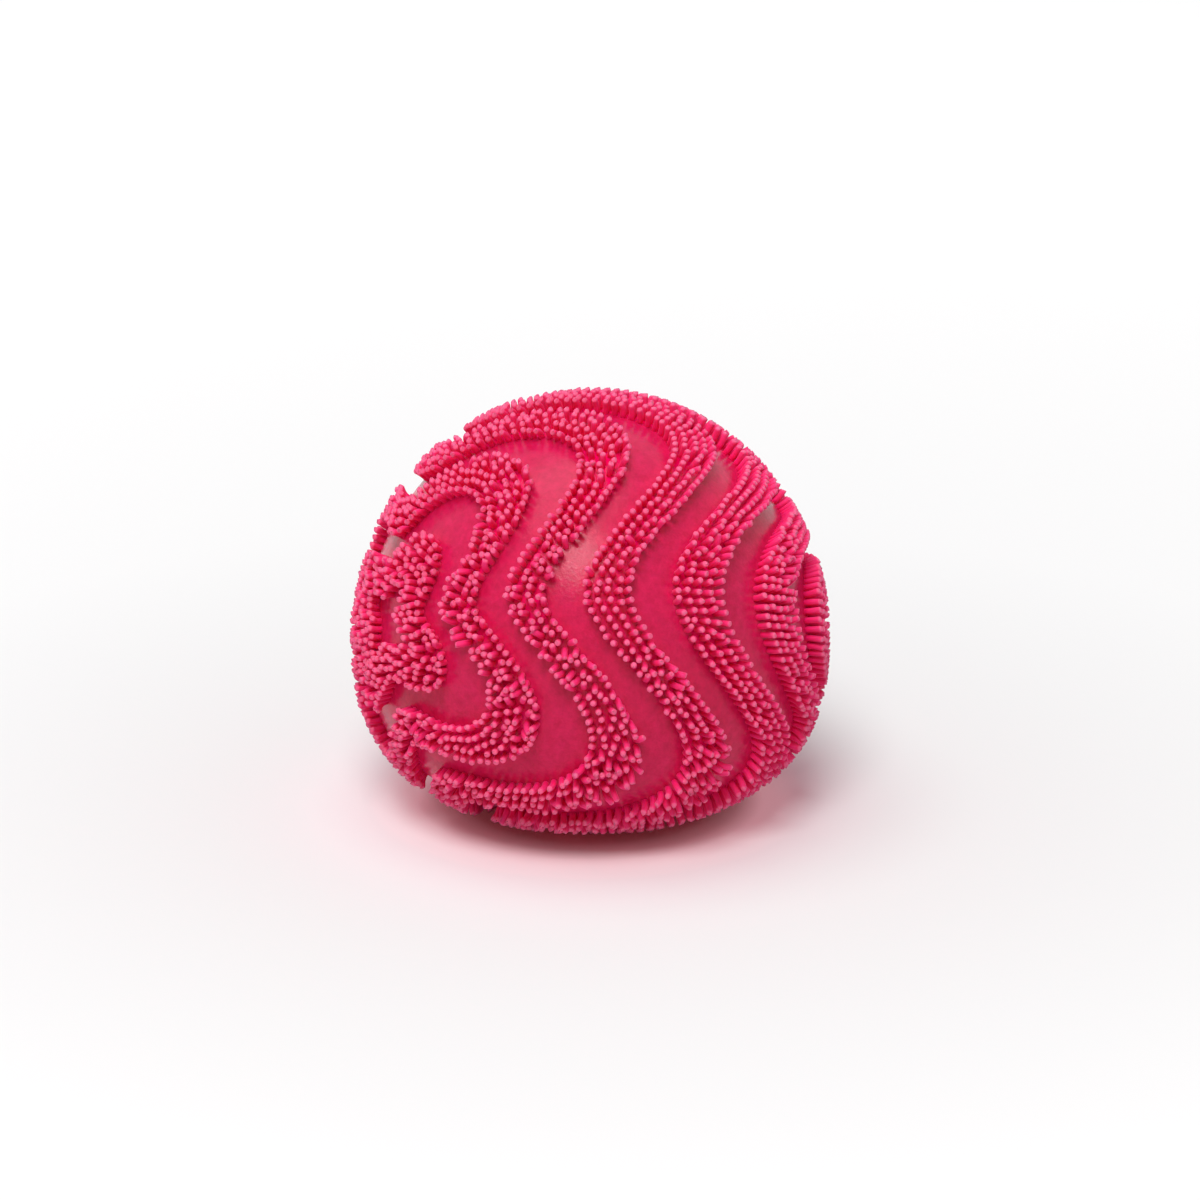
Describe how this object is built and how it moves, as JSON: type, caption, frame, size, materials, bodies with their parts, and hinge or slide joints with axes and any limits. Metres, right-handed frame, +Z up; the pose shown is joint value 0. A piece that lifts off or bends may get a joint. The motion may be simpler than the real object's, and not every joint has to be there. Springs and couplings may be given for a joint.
{
  "type": "textured sensory ball",
  "caption": "Soft rubber squeeze ball, slumped flat underneath, with wavy bands of short moulded bristles over a dough filling closed by a plug.",
  "frame": {"origin": "on the floor, under the middle of the ball", "axes": "+Z up, -Y towards the pictured side, +X to that side's right"},
  "size_m": [0.0749, 0.0749, 0.0659],
  "materials": {
    "skin_rubber": "satin hot pink moulded rubber",
    "bristle_rubber": "soft satin pink moulded rubber",
    "plug_rubber": "satin hot pink moulded rubber",
    "dough": "matt pale dough"
  },
  "bodies": {
    "root": {"skin": "skin_rubber", "bristles_left_end": "bristle_rubber", "bristles_left_side": "bristle_rubber", "bristles_right_side": "bristle_rubber", "bristles_right_end": "bristle_rubber", "dough_filling": "dough", "fill_plug": "plug_rubber"}
  },
  "joints": []
}
